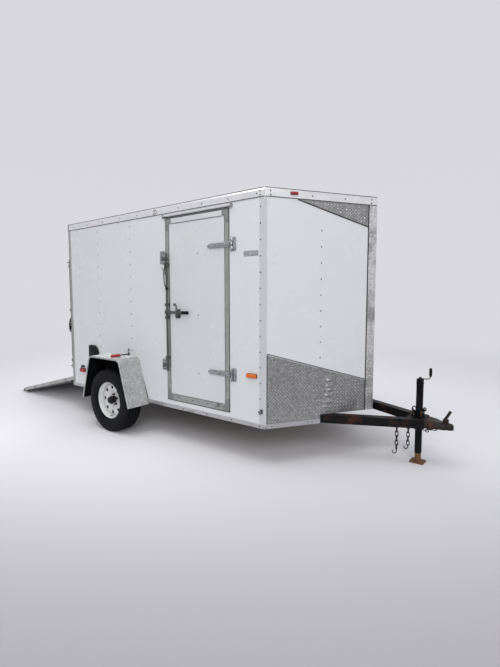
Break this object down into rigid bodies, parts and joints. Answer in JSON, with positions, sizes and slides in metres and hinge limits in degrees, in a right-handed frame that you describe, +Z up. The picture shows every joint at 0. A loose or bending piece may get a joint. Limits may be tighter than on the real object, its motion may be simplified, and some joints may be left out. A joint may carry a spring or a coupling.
{
  "type": "enclosed cargo trailer",
  "caption": "Single-axle V-nose enclosed cargo trailer with a side door, a fold-down rear ramp, fenders, an A-frame tongue, a ball coupler and a tongue jack.",
  "frame": {"origin": "on the ground under the middle of the whole trailer's box, ramp down", "axes": "+X forward to the coupler, +Y to the trailer's left, +Z up"},
  "size_m": [6.0366, 2.3608, 2.382],
  "materials": {
    "frame_paint": "black chassis paint with rust at the welds",
    "coupler_steel": "worn black paint over pressed steel, rusty edges",
    "jack_steel": "dull zinc plated steel",
    "chain_steel": "weathered zinc plated steel",
    "white_skin": "semi-gloss white painted aluminium skin",
    "floor_wood": "plywood",
    "aluminium_trim": "mill finish extrusion",
    "diamond_plate": "bright tread plate",
    "black_plastic": "moulded black",
    "amber_lens": "clear amber moulding",
    "red_lens": "clear red moulding",
    "zinc": "zinc plated",
    "tyre": "road dusty rubber",
    "rim_paint": "white painted pressed steel",
    "hub_steel": "rusty casting",
    "ramp_steel": "dark painted channel"
  },
  "bodies": {
    "root": {"frame_side_rails": "frame_paint", "frame_crossmembers": "frame_paint", "frame_nose_rails": "frame_paint", "tongue_rails": "frame_paint", "tongue_plate": "frame_paint", "coupler": "coupler_steel", "coupler_latch": "coupler_steel", "jack_tube": "jack_steel", "jack_crank": "jack_steel", "safety_chains": "chain_steel", "axle": "frame_paint", "leaf_springs": "frame_paint", "spring_hangers": "frame_paint", "floor": "floor_wood", "side_wall_right": "white_skin", "side_wall_left": "white_skin", "nose_wall_right": "white_skin", "nose_wall_left": "white_skin", "roof": "white_skin", "rear_posts": "white_skin", "rear_header": "white_skin", "rear_sill": "frame_paint", "sill_knuckles": "frame_paint", "roof_trim": "aluminium_trim", "bottom_trim": "aluminium_trim", "nose_cap": "diamond_plate", "nose_plates": "diamond_plate", "corner_strips": "white_skin", "fenders": "diamond_plate", "side_vents": "black_plastic", "lamps_amber": "amber_lens", "lamps_red": "red_lens", "fender_lamps": "black_plastic", "drip_rail": "aluminium_trim", "door_jamb": "aluminium_trim", "hinge_butts": "zinc", "lock_keepers": "zinc", "rear_lock_bars": "zinc"},
    "wheel_right": {"tyre_right": "tyre", "rim_right": "rim_paint", "hub_right": "hub_steel"},
    "wheel_left": {"tyre_left": "tyre", "rim_left": "rim_paint", "hub_left": "hub_steel"},
    "side_door": {"door_leaf": "white_skin", "door_frame": "aluminium_trim", "hinge_straps": "zinc", "door_lock": "zinc", "door_latch": "zinc"},
    "ramp": {"ramp_frame": "ramp_steel", "ramp_panel": "floor_wood", "ramp_lip": "ramp_steel", "ramp_fittings": "zinc"},
    "jack_leg": {"jack_leg": "jack_steel"}
  },
  "joints": [
    {"name": "wheel_right_spin", "type": "hinge", "parent": "root", "child": "wheel_right", "pos_m": [-0.22166, -1.0755, 0.344], "axis": [0, 1, 0], "continuous": true},
    {"name": "wheel_left_spin", "type": "hinge", "parent": "root", "child": "wheel_left", "pos_m": [-0.22166, 1.0755, 0.344], "axis": [0, 1, 0], "continuous": true},
    {"name": "side_door_swing", "type": "hinge", "parent": "root", "child": "side_door", "pos_m": [1.34034, -0.9264, 1.34], "axis": [0, 0, 1], "range_deg": [0, 170]},
    {"name": "ramp_fold", "type": "hinge", "parent": "root", "child": "ramp", "pos_m": [-1.36466, 0, 0.4], "axis": [0, 1, 0], "range_deg": [0, 103.57]},
    {"name": "jack_slide", "type": "slide", "parent": "root", "child": "jack_leg", "axis": [0, 0, 1], "range_m": [-0.17, 0.07]}
  ]
}
